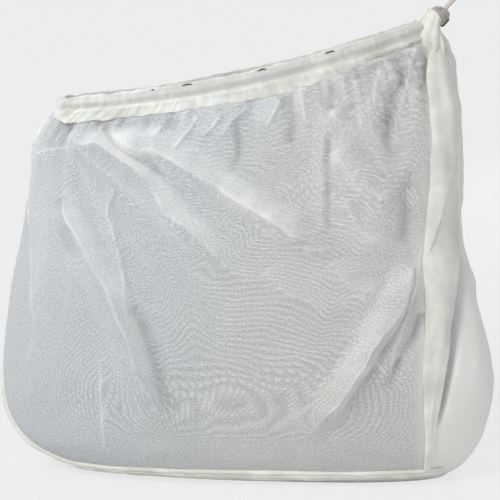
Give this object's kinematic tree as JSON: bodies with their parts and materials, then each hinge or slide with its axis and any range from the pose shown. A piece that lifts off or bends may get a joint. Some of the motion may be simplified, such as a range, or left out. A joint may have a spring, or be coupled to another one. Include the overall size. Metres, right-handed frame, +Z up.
{
  "type": "mesh laundry bag",
  "caption": "Net laundry bag standing open: net walls and base, seam bands, a corded mouth casing and a sprung cord lock that slides on the drawcord.",
  "frame": {"origin": "on the ground under the middle of the bag's box, measured without the free ends of the drawcord", "axes": "+Z up, +X to the right as the front is seen, towards the corner with the cord lock, -Y out of the front"},
  "size_m": [0.5818, 0.1823, 0.5993],
  "materials": {
    "net": "fine knitted polyester net, matt",
    "seam_tape": "folded net and woven tape, matt",
    "drawcord": "braided cord",
    "lock_plastic": "moulded, satin",
    "spring_steel": "drawn wire"
  },
  "bodies": {
    "bag": {"net_front": "net", "net_back": "net", "net_base": "net", "side_seam_band": "seam_tape", "bottom_seam_band": "seam_tape", "mouth_casing": "seam_tape", "drawcord_in_casing": "drawcord", "cord_strand_front": "drawcord", "cord_strand_back": "drawcord", "end_knot": "drawcord"},
    "cord_lock": {"lock_body": "lock_plastic", "lock_spring": "spring_steel"},
    "button": {"lock_button": "lock_plastic"}
  },
  "joints": [
    {"name": "lock_slide", "type": "slide", "parent": "bag", "child": "cord_lock", "axis": [0.6697, 0, 0.7426], "range_m": [0, 0.038]},
    {"name": "button_press", "type": "slide", "parent": "cord_lock", "child": "button", "axis": [-0.7426, 0, 0.6697], "range_m": [0, 0.0028], "stiffness_N_per_m": 700, "springref_m": -0.006, "deforming": ["lock_spring"]}
  ]
}
